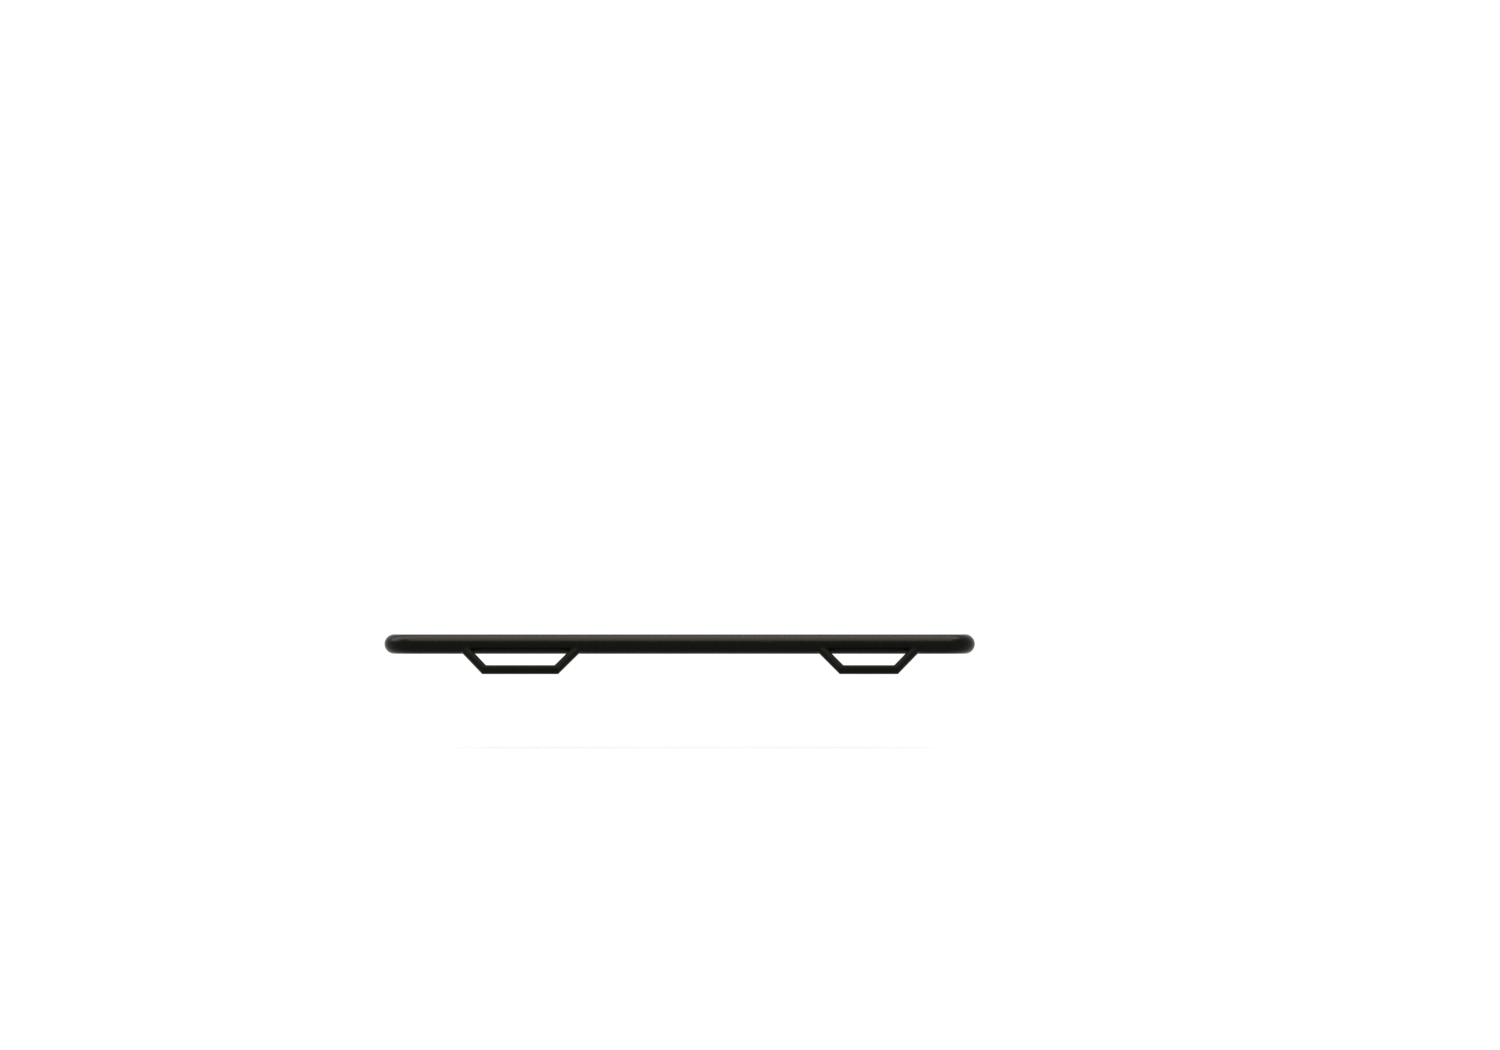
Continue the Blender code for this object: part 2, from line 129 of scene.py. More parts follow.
# Facets
TUBE_SIDES = 96
BEND_STEPS = 24
STEP_SIDES = 64
DOME_STEPS = 16
DOME_POLE = 0.0006
DRAIN_SIDES = 32
DRAIN_PIN = 0.012
DRAIN_MARGIN = 3 * DRAIN_RADIUS
PLATE_EDGE = 0.0006
COPE_STEPS = 24
CORNER_STEPS = 10
SLOT_STEPS = 8
BEND_CUTS = 16
SMOOTH_ANGLE = math.radians(32)
SAME_POINT = 0.000001
MERGE_DISTANCE = 0.00001

# Weld beads. An unevenness is a share of the size, and how fast it changes along the run.
WAVES = ((0.5, 1.7, 0.4), (0.3, 4.1, 1.3), (0.2, 9.7, 0.0))
BEAD_PITCH = 0.0034
BEAD_SAMPLES = 5
BEAD_FACE = 8
MIN_RIPPLES = 6
RIPPLE_SWEEP = 0.55
RIPPLE_ROUNDNESS = 0.7
RIPPLE_LEVEL = 0.6
TOE_SINK = 0.00012
ROOT_DEPTH = 0.0009
OUTER_CORNER_LIFT = 0.6
CROWN_UNEVEN = (0.12, 0.9)
COPE_UNEVEN = (0.07, 0.13)
MITRE_UNEVEN = (0.06, 0.11)
TAB_UNEVEN = (0.06, 0.12)
CAP_UNEVEN = (0.05, 0.1)
COPE_RUN = 2.3 * math.pi * STEP_RADIUS
MITRE_RUN = 2.2 * math.pi * STEP_RADIUS
TAB_END_EASE = 0.3

# Fasteners. Shares are of the hexagon's apothem, and the washer's of its rolled edge.
HEX_APOTHEM = 0.008
HEX_SIDE = math.pi / 3
HEX_CORNER_SHARE = 1.135
HEX_FACE_SHARE = 0.96
CHAMFER_SHARE = 0.97
CHAMFER_SLOPE = math.tan(math.radians(30))
HEAD_DISH = ((0.55, 0.0), (0.60, 0.0002), (0.64, 0.0), (HEX_FACE_SHARE, 0.0))
HEAD_SIDE_END = 0.0006
HEAD_COLLAR = 0.0005
SHANK_FILLET = 0.0004
THREAD_RADIUS = 0.005
THREAD_PITCH = 0.0015
THREAD_DEPTH = 0.0008
ROWS_PER_PITCH = 6
THREAD_START = 0.0155
SHANK_END = 0.0160
POINT_LENGTH = 0.0002
POINT_FADE = 0.0012
POINT_NARROWING = 0.0007
POINT_CHAMFER = 0.0013
BORE_CLEARANCE = 0.0001
BORE_CHAMFER = 0.0007
WASHER_ROLL = 0.22
WASHER_BORE_SHARE = 0.4
WASHER_RIM_SHARE = 0.3
SPRING_WASHER_EDGE = 0.00025
SPRING_WASHER_INSET = 0.00022
SPRING_RISE = 0.0002
SPLIT_TURN = 0.085
ROUND = 48
FIRST_TURN = 0.37
TURN_BY_STATION = 1.13
TURN_BY_BOLT = 0.71
NUT_TURN = 1.7
SPRING_WASHER_TURN = 2.3


# Shared shapes

def wobble(value):
    """A smooth, repeatable irregularity between about -1 and 1."""
    return sum(share * math.sin(value * rate + shift) for share, rate, shift in WAVES)


def uneven(size, unevenness, index):
    """A size that wanders a little from one place to the next."""
    share, rate = unevenness
    return size * (1 + share * wobble(index * rate))


def new_piece(name, shape, material):
    """Turns a bmesh into a smooth-shaded piece of the object."""
    bmesh.ops.recalc_face_normals(shape, faces=shape.faces)
    if shape.calc_volume(signed=True) < 0:
        bmesh.ops.reverse_faces(shape, faces=shape.faces)
    mesh = bpy.data.meshes.new(name)
    shape.to_mesh(mesh)
    shape.free()
    mesh.shade_smooth()
    mesh.set_sharp_from_angle(angle=SMOOTH_ANGLE)
    mesh.materials.append(material)
    piece = bpy.data.objects.new(name, mesh)
    bpy.context.scene.collection.objects.link(piece)
    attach(piece, "root")
    return piece


def strip_of(shape, rings):
    """Joins rings of equal count, one after another, with quads."""
    for here, there in zip(rings, rings[1:]):
        for index in range(len(here)):
            after = (index + 1) % len(here)
            shape.faces.new((here[index], here[after], there[after], there[index]))


def close_ends(shape, rings):
    """Joins the rings and fills the first and the last."""
    strip_of(shape, rings)
    shape.faces.new(rings[0])
    shape.faces.new(rings[-1])


def spoke(first, second, turn):
    """The direction at a turn in the plane of two directions."""
    return first * math.cos(turn) + second * math.sin(turn)


def circle(shape, centre, first, second, radius, sides):
    """A ring of vertices in the plane of two directions."""
    turns = [math.tau * index / sides for index in range(sides)]
    return [shape.verts.new(centre + spoke(first, second, turn) * radius) for turn in turns]


def around(axis):
    """Two directions square to an axis and to each other."""
    first = axis.cross(Z_AXIS).normalized()
    return first, axis.cross(first).normalized()


def on_cylinder(point, origin, axis, radius):
    """The point moved straight out or in to a cylinder's surface."""
    along = origin + axis * (point - origin).dot(axis)
    return along + (point - along).normalized() * radius


def meet_tube(start, axis, radius):
    """Where a line from start along axis first meets a cylinder round the main tube's axis."""
    offset = start - TUBE_ORIGIN
    a = axis.y ** 2 + axis.z ** 2
    b = 2 * (axis.y * offset.y + axis.z * offset.z)
    c = offset.y ** 2 + offset.z ** 2 - radius ** 2
    return start + axis * ((-b - math.sqrt(b * b - 4 * a * c)) / (2 * a))


def meet_plane(start, axis, corner, plane):
    """Where a line from start along axis meets the plane through a corner."""
    return start - axis * ((start - corner).dot(plane) / axis.dot(plane))


def leg_frame(prefix, side):
    """One corner of a hoop, and the direction of its leg up to the main tube."""
    middle, length = STEPS[prefix]
    corner = Vector((middle + side * length / 2, TUBE_Y - STEP_DROP, -STEP_DROP))
    return corner, Vector((side, 1.0, 1.0)).normalized()


# Weld beads

def inside_box(point):
    """The same point, held inside the CAD model's box."""
    return Vector([min(max(point[i], CAD_LOW[i]), CAD_HIGH[i]) for i in range(3)])


def bead(name, stations, crown, relief, material):
    """A closed run of weld. Each station gives the joint's point, its outward direction and the two toes."""
    points = [station[0] for station in stations]
    travel = [0.0]
    for point, after in zip(points, points[1:] + points[:1]):
        travel.append(travel[-1] + (after - point).length)
    ripples = max(MIN_RIPPLES, round(travel[-1] / BEAD_PITCH))
    shape = bmesh.new()
    rings = []
    for index, (point, outward, toe_a, toe_b) in enumerate(stations):
        phase = ripples * travel[index] / travel[-1]
        middle = (toe_a + toe_b) / 2
        lift = OUTER_CORNER_LIFT * max((point - middle).dot(outward), 0.0) + uneven(crown, CROWN_UNEVEN, phase)
        ring = []
        for step in range(BEAD_FACE + 1):
            across = step / BEAD_FACE
            bulge = 4 * across * (1 - across)
            crescent = phase + RIPPLE_SWEEP * bulge
            ripple = abs(math.sin(math.pi * crescent)) ** RIPPLE_ROUNDNESS - RIPPLE_LEVEL
            height = lift * bulge + relief * ripple * bulge ** 0.5
            ring.append(shape.verts.new(inside_box(toe_a.lerp(toe_b, across) + outward * height)))
        ring.append(shape.verts.new(point - outward * ROOT_DEPTH))
        rings.append(ring)
    strip_of(shape, rings + rings[:1])
    return new_piece(name, shape, material)


def away(tangent, normal, other_normal):
    """The direction on one surface that leads away from the joint."""
    direction = tangent.cross(normal).normalized()
    return direction if direction.dot(other_normal) > 0 else -direction


def cope_stations(prefix, side, size):
    """Where a leg meets the main tube."""
    corner, axis = leg_frame(prefix, side)
    first, second = around(axis)
    count = round(COPE_RUN / BEAD_PITCH) * BEAD_SAMPLES
    stations = []
    for index in range(count):
        radial = spoke(first, second, math.tau * index / count)
        point = meet_tube(corner + radial * STEP_RADIUS, axis, TUBE_RADIUS)
        tube_normal = Vector((0.0, point.y - TUBE_Y, point.z)).normalized()
        tangent = radial.cross(tube_normal).normalized()
        span = uneven(size, COPE_UNEVEN, index)
        on_leg = point + away(tangent, radial, tube_normal) * span
        on_tube = point + away(tangent, tube_normal, radial) * span
        stations.append((
            point,
            (radial + tube_normal).normalized(),
            on_cylinder(on_leg, corner, axis, STEP_RADIUS - TOE_SINK),
            on_cylinder(on_tube, TUBE_ORIGIN, X_AXIS, TUBE_RADIUS - TOE_SINK),
        ))
    return stations


def mitre_stations(prefix, side, size):
    """Where a leg meets the tread."""
    corner, axis = leg_frame(prefix, side)
    tread_axis = X_AXIS * -side
    plane = (axis - tread_axis).normalized()
    count = round(MITRE_RUN / BEAD_PITCH) * BEAD_SAMPLES
    stations = []
    for index in range(count):
        tread_normal = spoke(Y_AXIS, Z_AXIS, math.tau * index / count)
        point = meet_plane(corner + tread_normal * STEP_RADIUS, tread_axis, corner, plane)
        foot = corner + axis * (point - corner).dot(axis)
        leg_normal = (point - foot).normalized()
        span = uneven(size, MITRE_UNEVEN, index)
        stations.append((
            point,
            (tread_normal + leg_normal).normalized(),
            on_cylinder(point + tread_axis * span, corner, tread_axis, STEP_RADIUS - TOE_SINK),
            on_cylinder(point + axis * span, corner, axis, STEP_RADIUS - TOE_SINK),
        ))
    return stations


def tab_outline(low_x, high_x):
    """Round a weld tab's foot: how far along the bar, the angle on the tube and the way out of the plate."""
    reach = math.asin(TAB_HALF_HEIGHT / TUBE_RADIUS)
    arc_steps = round(2 * reach * TUBE_RADIUS / BEAD_PITCH) * BEAD_SAMPLES
    corner_turns = [QUARTER * index / BEAD_SAMPLES for index in range(1, BEAD_SAMPLES)]
    outline = []
    for side, x in ((-1, low_x), (1, high_x)):
        start, end = -side * reach, side * reach
        for index in range(arc_steps + 1):
            outline.append((x, start + (end - start) * index / arc_steps, Vector((side, 0.0))))
        for turn in corner_turns:
            outline.append((x, end, Vector((side * math.cos(turn), side * math.sin(turn)))))
        for index in range(BEAD_SAMPLES + 1):
            outline.append((x - side * PLATE * index / BEAD_SAMPLES, end, Vector((0.0, side))))
        for turn in corner_turns:
            outline.append((x - side * PLATE, end, Vector((-side * math.sin(turn), side * math.cos(turn)))))
    return outline


def tab_stations(station, size):
    """All round the foot of a weld tab, on the back of the main tube."""
    low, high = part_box(f"{station}_weld_tab")
    stations = []
    for index, (x, angle, facing) in enumerate(tab_outline(low.x, high.x)):
        tube_normal = spoke(Y_AXIS, Z_AXIS, angle)
        around_tube = Vector((0.0, -math.sin(angle), math.cos(angle)))
        outward_flat = X_AXIS * facing.x + around_tube * facing.y
        point = Vector((x, TUBE_Y, 0.0)) + tube_normal * TUBE_RADIUS
        span = uneven(size * (1 - TAB_END_EASE * abs(facing.y)), TAB_UNEVEN, index)
        on_tube = on_cylinder(point + outward_flat * span, TUBE_ORIGIN, X_AXIS, TUBE_RADIUS - TOE_SINK)
        face_normal = Vector((facing.x, 0.0, facing.y))
        on_plate = point + Y_AXIS * span - face_normal * TOE_SINK
        stations.append((point, (face_normal + tube_normal).normalized(), on_plate, on_tube))
    return stations


def cap_stations(end, size):
    """The seam between the main tube and an end cap."""
    middle = Vector((END_X[end], STUB_END_Y, 0.0))
    count = round(math.tau * TUBE_RADIUS / BEAD_PITCH) * BEAD_SAMPLES
    stations = []
    for index in range(count):
        radial = spoke(X_AXIS, Z_AXIS, math.tau * index / count)
        across = Y_AXIS * uneven(size, CAP_UNEVEN, index)
        inner = middle + radial * (TUBE_RADIUS - TOE_SINK)
        stations.append((middle + radial * TUBE_RADIUS, radial, inner - across, inner + across))
    return stations


# Tubes and caps

def bend_point(end, side, turn):
    """A point on a bend's middle line, and the direction from it to the bend's centre."""
    inward = Vector((side * math.cos(turn), math.sin(turn), 0.0))
    centre = Vector((END_X[end] + side * BEND_RADIUS, TUBE_Y + BEND_RADIUS, 0.0))
    return centre - inward * BEND_RADIUS, inward


def bar_path():
    """The main tube's middle line and the direction square to it, from the front stub's end to the rear's."""
    path = [(Vector((END_X["front"], STUB_END_Y, 0.0)), X_AXIS)]
    path += [bend_point("front", 1, QUARTER * index / BEND_STEPS) for index in range(BEND_STEPS + 1)]
    for drain in DRAIN_X:
        for offset in (-DRAIN_MARGIN, DRAIN_MARGIN):
            path.append((Vector((drain + offset, TUBE_Y, 0.0)), Y_AXIS))
    path += [bend_point("rear", -1, QUARTER * (1 - index / BEND_STEPS)) for index in range(BEND_STEPS + 1)]
    path.append((Vector((END_X["rear"], STUB_END_Y, 0.0)), -X_AXIS))
    return path


def linked(name, data):
    """A new object of the scene."""
    made = bpy.data.objects.new(name, data)
    bpy.context.scene.collection.objects.link(made)
    return made


def evaluated(drawn):
    """A bmesh of an object with its modifiers or its curve's fill applied."""
    graph = bpy.context.evaluated_depsgraph_get()
    shape = bmesh.new()
    shape.from_mesh(bpy.data.meshes.new_from_object(drawn.evaluated_get(graph), depsgraph=graph))
    return shape


def drilled(shape, holes):
    """The shape with upright round holes cut through it."""
    mesh = bpy.data.meshes.new("drilled")
    shape.to_mesh(mesh)
    shape.free()
    body = linked("drilled", mesh)
    pins = []
    for centre, radius, depth in holes:
        pin_shape = bmesh.new()
        up = Z_AXIS * (depth / 2)
        rings = [circle(pin_shape, centre + shift, X_AXIS, Y_AXIS, radius, DRAIN_SIDES) for shift in (-up, up)]
        close_ends(pin_shape, rings)
        bmesh.ops.recalc_face_normals(pin_shape, faces=pin_shape.faces)
        pin_mesh = bpy.data.meshes.new("pin")
        pin_shape.to_mesh(pin_mesh)
        pin_shape.free()
        pins.append(linked("pin", pin_mesh))
        cut = body.modifiers.new("hole", "BOOLEAN")
        cut.operation = "DIFFERENCE"
        cut.solver = "EXACT"
        cut.object = pins[-1]
    made = evaluated(body)
    for spent in (body, *pins):
        bpy.data.objects.remove(spent, do_unlink=True)
    return made


def main_tube():
    """The bent tube, hollow, with its two drain holes."""
    shape = bmesh.new()
    path = bar_path()
    outer, inner = (
        [circle(shape, point, across, Z_AXIS, radius, TUBE_SIDES) for point, across in path]
        for radius in (TUBE_RADIUS, TUBE_RADIUS - TUBE_WALL)
    )
    strip_of(shape, outer + inner[::-1] + outer[:1])
    bmesh.ops.recalc_face_normals(shape, faces=shape.faces)
    holes = [(Vector((x, TUBE_Y, -TUBE_RADIUS)), DRAIN_RADIUS, DRAIN_PIN) for x in DRAIN_X]
    piece = new_piece("main_tube_smooth", drilled(shape, holes), TUBE_BLACK)
    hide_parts("main_tube")


def end_cap(end):
    """A pressed cap with a crowned face, seated in the tube's open end."""
    profile = [(DOME_POLE, CAP_LIP + CAP_CROWN)]
    for index in range(1, DOME_STEPS + 1):
        turn = QUARTER * index / DOME_STEPS
        profile.append((TUBE_RADIUS * math.sin(turn), CAP_LIP + CAP_CROWN * math.cos(turn)))
    spigot = TUBE_RADIUS - TUBE_WALL - CAP_SLIP
    profile += [(TUBE_RADIUS, 0.0), (spigot, 0.0), (spigot, -CAP_SPIGOT)]
    profile += [(spigot - CAP_WALL, -CAP_SPIGOT), (spigot - CAP_WALL, 0.0), (DOME_POLE, CAP_LIP)]
    shape = bmesh.new()
    rings = []
    for radius, height in profile:
        middle = Vector((END_X[end], STUB_END_Y + height, 0.0))
        rings.append(circle(shape, middle, X_AXIS, Z_AXIS, radius, TUBE_SIDES))
    close_ends(shape, rings)
    piece = new_piece(f"{end}_end_cap_smooth", shape, TUBE_BLACK)
    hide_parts(f"{end}_end_cap")


def step_leg(prefix, label, side):
    """A leg, mitred at the tread and coped to the main tube."""
    corner, axis = leg_frame(prefix, side)
    plane = (axis + X_AXIS * side).normalized()
    first, second = around(axis)
    shape = bmesh.new()
    loops = [[], [], [], []]
    for index in range(STEP_SIDES):
        radial = spoke(first, second, math.tau * index / STEP_SIDES)
        outer = corner + radial * STEP_RADIUS
        inner = corner + radial * (STEP_RADIUS - STEP_WALL)
        places = (
            meet_plane(outer, axis, corner, plane),
            meet_tube(outer, axis, TUBE_RADIUS - TOE_SINK),
            meet_tube(inner, axis, TUBE_RADIUS - TOE_SINK),
            meet_plane(inner, axis, corner, plane),
        )
        for loop, place in zip(loops, places):
            loop.append(shape.verts.new(place))
    strip_of(shape, loops + loops[:1])
    piece = new_piece(f"{prefix}_{label}_leg_smooth", shape, STEP_BLACK)
    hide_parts(f"{prefix}_{label}_leg")


def step_tread(prefix):
    """The level tube of a hoop, mitred at both ends."""
    ends = []
    for side in (-1, 1):
        corner, axis = leg_frame(prefix, side)
        ends.append((corner, (axis + X_AXIS * side).normalized()))
    bore = STEP_RADIUS - STEP_WALL
    edges = ((STEP_RADIUS, *ends[0]), (STEP_RADIUS, *ends[1]), (bore, *ends[1]), (bore, *ends[0]))
    shape = bmesh.new()
    loops = [[], [], [], []]
    for index in range(STEP_SIDES):
        radial = spoke(Y_AXIS, Z_AXIS, math.tau * index / STEP_SIDES)
        for loop, (radius, corner, plane) in zip(loops, edges):
            loop.append(shape.verts.new(meet_plane(corner + radial * radius, X_AXIS, corner, plane)))
    strip_of(shape, loops + loops[:1])
    piece = new_piece(f"{prefix}_tread_smooth", shape, STEP_BLACK)
    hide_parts(f"{prefix}_tread_tube")


# Plates

def arc(centre_x, centre_y, radius, start, end, steps):
    """Points on an arc, both ends included."""
    points = []
    for index in range(steps + 1):
        turn = start + (end - start) * index / steps
        points.append((centre_x + radius * math.cos(turn), centre_y + radius * math.sin(turn)))
    return points


def long_hole(centre_x, length_x, length_y):
    """A slot with round ends, level or upright, on the plate's middle line."""
    radius = min(length_x, length_y) / 2
    reach_x, reach_y = length_x / 2 - radius, length_y / 2 - radius
    points = []
    for quarter, (side_x, side_y) in enumerate(((1, 1), (-1, 1), (-1, -1), (1, -1))):
        middle = (centre_x + side_x * reach_x, side_y * reach_y)
        points += arc(*middle, radius, quarter * QUARTER, (quarter + 1) * QUARTER, SLOT_STEPS)
    previous = points[-1:] + points[:-1]
    return [point for point, before in zip(points, previous) if math.dist(point, before) > SAME_POINT]


def plate_shape(outlines):
    """A plate in XY, centred on its thickness, with its edges rounded."""
    curve = bpy.data.curves.new("plate", "CURVE")
    curve.dimensions = "2D"
    curve.fill_mode = "BOTH"
    curve.extrude = PLATE / 2 - PLATE_EDGE
    curve.bevel_depth = PLATE_EDGE
    curve.bevel_resolution = 2
    curve.offset = -PLATE_EDGE
    for outline in outlines:
        spline = curve.splines.new("POLY")
        spline.points.add(len(outline) - 1)
        for point, (x, y) in zip(spline.points, outline):
            point.co = (x, y, 0.0, 1.0)
        spline.use_cyclic_u = True
    drawn = linked("plate", curve)
    shape = evaluated(drawn)
    bpy.data.objects.remove(drawn, do_unlink=True)
    bmesh.ops.remove_doubles(shape, verts=shape.verts, dist=MERGE_DISTANCE)
    return shape


def even_shading(piece):
    """Keeps flat faces flat beside their rounded edges."""
    weighted = piece.modifiers.new("even_shading", "WEIGHTED_NORMAL")
    weighted.keep_sharp = True
    weighted.weight = 100


def weld_tab(station):
    """The tab's plate, coped to the back of the main tube, with two holes."""
    low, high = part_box(f"{station}_weld_tab")
    cope_turn = math.asin(TAB_HALF_HEIGHT / TUBE_RADIUS)
    corner_x = TUBE_RADIUS + TAB_LENGTH - TAB_CORNER
    corner_y = TAB_HALF_HEIGHT - TAB_CORNER
    outline = arc(0.0, 0.0, TUBE_RADIUS, cope_turn, -cope_turn, COPE_STEPS)
    outline += arc(corner_x, -corner_y, TAB_CORNER, -QUARTER, 0.0, CORNER_STEPS)
    outline += arc(corner_x, corner_y, TAB_CORNER, 0.0, QUARTER, CORNER_STEPS)
    holes = [long_hole(TUBE_RADIUS + bolt, SLOT_WIDTH, SLOT_WIDTH) for bolt in BOLT_FROM_TUBE]
    shape = plate_shape([outline, *holes])
    for vertex in shape.verts:
        x, y, z = vertex.co
        vertex.co = ((low.x + high.x) / 2 + z, TUBE_Y + x, y)
    piece = new_piece(f"{station}_weld_tab_plate", shape, TUBE_BLACK)
    even_shading(piece)
    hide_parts(f"{station}_weld_tab")


def frame_bracket(station):
    """The bracket, cut flat with its slots and bent to an L."""
    low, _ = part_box(f"{station}_frame_bracket")
    outer_bend = BRACKET_BEND + PLATE
    tip_y = TUBE_Y + TUBE_RADIUS + ARM_FROM_TUBE
    arm = -outer_bend - tip_y
    bend = QUARTER * (outer_bend - PLATE / 2)
    length = arm + bend + PAD_LENGTH - outer_bend
    half, corner = BRACKET_HALF_HEIGHT, BRACKET_CORNER
    outline = arc(corner, half - corner, corner, QUARTER, 2 * QUARTER, CORNER_STEPS)
    outline += arc(corner, corner - half, corner, 2 * QUARTER, 3 * QUARTER, CORNER_STEPS)
    outline += arc(length - corner, corner - half, corner, 3 * QUARTER, 4 * QUARTER, CORNER_STEPS)
    outline += arc(length - corner, half - corner, corner, 0.0, QUARTER, CORNER_STEPS)
    holes = [long_hole(bolt - ARM_FROM_TUBE, ARM_SLOT, SLOT_WIDTH) for bolt in BOLT_FROM_TUBE]
    pad_middle = arm + bend + PAD_LENGTH / 2 - outer_bend
    holes += [long_hole(pad_middle + side * PAD_SLOT_FROM_MIDDLE, SLOT_WIDTH, PAD_SLOT) for side in (-1, 1)]
    shape = plate_shape([outline, *holes])
    for index in range(BEND_CUTS + 1):
        bmesh.ops.bisect_plane(
            shape,
            geom=shape.verts[:] + shape.edges[:] + shape.faces[:],
            dist=SAME_POINT,
            plane_co=(arm + bend * index / BEND_CUTS, 0.0, 0.0),
            plane_no=X_AXIS,
        )
    for vertex in shape.verts:
        along, height, depth = vertex.co
        depth += PLATE / 2
        if along < arm:
            x, y = low.x + depth, tip_y + along
        elif along < arm + bend:
            turn = QUARTER * (along - arm) / bend
            radius = outer_bend - depth
            x, y = low.x + outer_bend - radius * math.cos(turn), -outer_bend + radius * math.sin(turn)
        else:
            x, y = low.x + outer_bend + along - arm - bend, -depth
        vertex.co = (x, y, height)
    piece = new_piece(f"{station}_frame_bracket_plate", shape, PLATE_BLACK)
    even_shading(piece)
    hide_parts(f"{station}_frame_bracket")


# Fasteners

def ring_at(shape, radius, height):
    """A ring of vertices round Z. Radius may be a function of the turn, and height one of the radius."""
    made = []
    for index in range(ROUND):
        turn = math.tau * index / ROUND
        r = radius(turn) if callable(radius) else radius
        z = height(r) if callable(height) else height
        made.append(shape.verts.new((r * math.cos(turn), r * math.sin(turn), z)))
    return made


def hex_radius(turn):
    """How far out a hexagon's side is, with its corners rounded a little."""
    within = (turn % HEX_SIDE) - HEX_SIDE / 2
    return min(HEX_APOTHEM / math.cos(within), HEX_APOTHEM * HEX_CORNER_SHARE)


def chamfered(flat_height, sign):
    """The height of a hexagon's edge that a cone has cut back, by how far out it is."""
    def height(radius):
        return flat_height - sign * max(radius - HEX_APOTHEM * CHAMFER_SHARE, 0.0) * CHAMFER_SLOPE
    return height


def thread_rings(shape, bottom, top):
    """A threaded length round Z, with a helical crest."""
    rows = round((top - bottom) / THREAD_PITCH * ROWS_PER_PITCH)
    rings = []
    for row in range(rows + 1):
        z = bottom + (top - bottom) * row / rows
        fade = min(1.0, max(0.0, (top - z) / POINT_FADE))

        def radius(turn, z=z, fade=fade):
            phase = (z / THREAD_PITCH - turn / math.tau) % 1.0
            crest = abs(2 * phase - 1)
            return THREAD_RADIUS - THREAD_DEPTH * (1 - crest) * fade - POINT_NARROWING * (1 - fade)

        rings.append(ring_at(shape, radius, z))
    return rings


def bolt_shape(length):
    """A hex bolt along Z, its bearing face at Z 0 and its head below."""
    shape = bmesh.new()
    rings = [ring_at(shape, HEX_APOTHEM * share, -HEAD_HEIGHT + rise) for share, rise in HEAD_DISH]
    rings += [
        ring_at(shape, hex_radius, chamfered(-HEAD_HEIGHT, -1)),
        ring_at(shape, hex_radius, -HEAD_SIDE_END),
        ring_at(shape, HEX_APOTHEM * CHAMFER_SHARE, -HEAD_COLLAR),
        ring_at(shape, HEX_APOTHEM * CHAMFER_SHARE, 0.0),
        ring_at(shape, THREAD_RADIUS + SHANK_FILLET, 0.0),
        ring_at(shape, THREAD_RADIUS, SHANK_FILLET),
    ]
    threads = thread_rings(shape, length - THREAD_START, length - POINT_LENGTH)
    rings += [ring_at(shape, THREAD_RADIUS, length - SHANK_END)] + threads
    rings.append(ring_at(shape, THREAD_RADIUS - POINT_CHAMFER, length))
    close_ends(shape, rings)
    return shape


def nut_shape(height):
    """A hex nut round Z, centred, chamfered on both sides."""
    shape = bmesh.new()
    half = height / 2
    bore = THREAD_RADIUS + BORE_CLEARANCE
    rings = [
        ring_at(shape, bore, -half + BORE_CHAMFER),
        ring_at(shape, bore + BORE_CHAMFER, -half),
        ring_at(shape, HEX_APOTHEM * HEX_FACE_SHARE, -half),
        ring_at(shape, hex_radius, chamfered(-half, -1)),
        ring_at(shape, hex_radius, chamfered(half, 1)),
        ring_at(shape, HEX_APOTHEM * HEX_FACE_SHARE, half),
        ring_at(shape, bore + BORE_CHAMFER, half),
        ring_at(shape, bore, half - BORE_CHAMFER),
    ]
    strip_of(shape, rings + rings[:1])
    return shape


def washer_shape():
    """A stamped flat washer round Z, one edge rolled over."""
    shape = bmesh.new()
    outer, inner, half = WASHER_RADIUS, WASHER_BORE, WASHER_THICKNESS / 2
    roll = WASHER_THICKNESS * WASHER_ROLL
    bore_edge, rim_edge = roll * WASHER_BORE_SHARE, roll * WASHER_RIM_SHARE
    rings = [
        ring_at(shape, inner, -half + bore_edge),
        ring_at(shape, inner + bore_edge, -half),
        ring_at(shape, outer - rim_edge, -half),
        ring_at(shape, outer, -half + rim_edge),
        ring_at(shape, outer, half - roll),
        ring_at(shape, outer - rim_edge, half - rim_edge),
        ring_at(shape, outer - roll, half),
        ring_at(shape, inner + roll, half),
        ring_at(shape, inner, half - roll),
    ]
    strip_of(shape, rings + rings[:1])
    return shape


def spring_washer_shape():
    """A split ring of square section round Z, its two ends sprung a little apart."""
    outer, inner, edge = SPRING_WASHER_RADIUS, WASHER_BORE, SPRING_WASHER_EDGE
    half = SPRING_WASHER_THICKNESS / 2 - SPRING_WASHER_INSET
    section = [
        (inner, -half + edge), (inner + edge, -half), (outer - edge, -half), (outer, -half + edge),
        (outer, half - edge), (outer - edge, half), (inner + edge, half), (inner, half - edge),
    ]
    shape = bmesh.new()
    rings = []
    for index in range(ROUND + 1):
        turn = SPLIT_TURN + (math.tau - 2 * SPLIT_TURN) * index / ROUND
        spring = SPRING_RISE * math.cos(turn / 2)
        places = [(radius * math.cos(turn), radius * math.sin(turn), z + spring) for radius, z in section]
        rings.append([shape.verts.new(place) for place in places])
    close_ends(shape, rings)
    return shape


